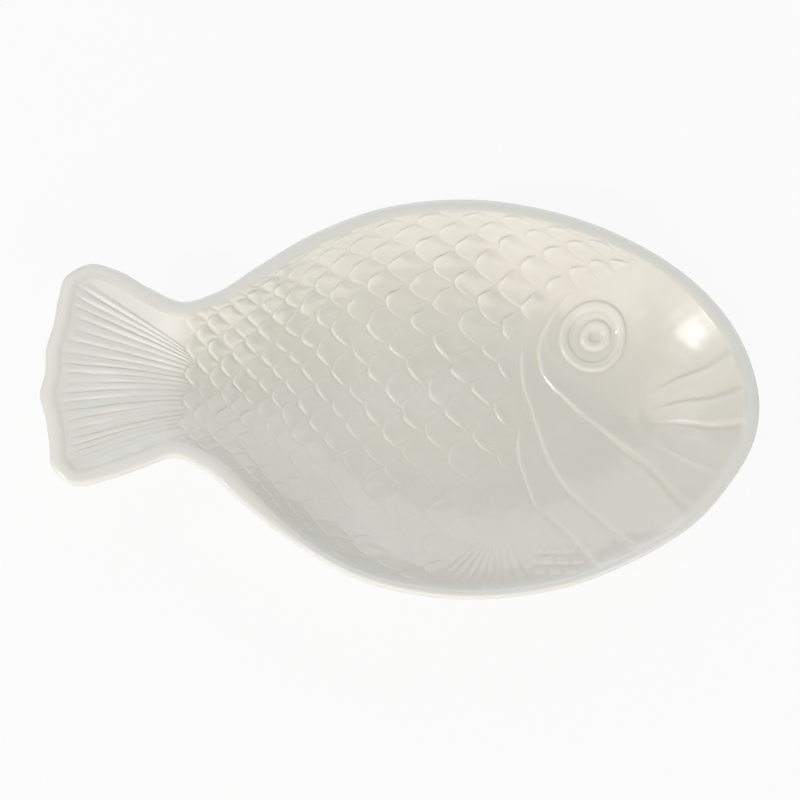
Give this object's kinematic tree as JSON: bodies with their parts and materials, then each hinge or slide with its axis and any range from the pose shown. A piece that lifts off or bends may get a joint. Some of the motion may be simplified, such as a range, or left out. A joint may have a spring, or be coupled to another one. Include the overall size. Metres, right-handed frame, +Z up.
{
  "type": "fish shaped platter",
  "caption": "Shallow fish shaped ceramic serving platter with a rounded lip, moulded scales, eye, gill folds and fin rays, standing on an oval foot ring.",
  "frame": {"origin": "middle of the overall box, on the table under the foot ring", "axes": "+X from the tail to the nose, +Y towards the fish's back, +Z up"},
  "size_m": [0.4199, 0.246, 0.048],
  "materials": {
    "ivory_glaze": "gloss",
    "bare_clay": "matte"
  },
  "bodies": {
    "root": {"dish_shell": "ivory_glaze", "tail_shell": "ivory_glaze", "rim_lip": "ivory_glaze", "eye_socket_ring": "ivory_glaze", "eye_iris_ring": "ivory_glaze", "eye_pupil": "ivory_glaze", "cheek_ridge": "ivory_glaze", "gill_cover_ridge": "ivory_glaze", "gill_fold": "ivory_glaze", "upper_lip_fold": "ivory_glaze", "middle_lip_fold": "ivory_glaze", "lower_lip_fold": "ivory_glaze", "jaw_ridge": "ivory_glaze", "tail_root_scales": "ivory_glaze", "flank_scales": "ivory_glaze", "lateral_scales": "ivory_glaze", "back_scales": "ivory_glaze", "belly_scales": "ivory_glaze", "tail_rays": "ivory_glaze", "belly_fin_rays": "ivory_glaze", "foot_ring": "bare_clay"}
  },
  "joints": []
}
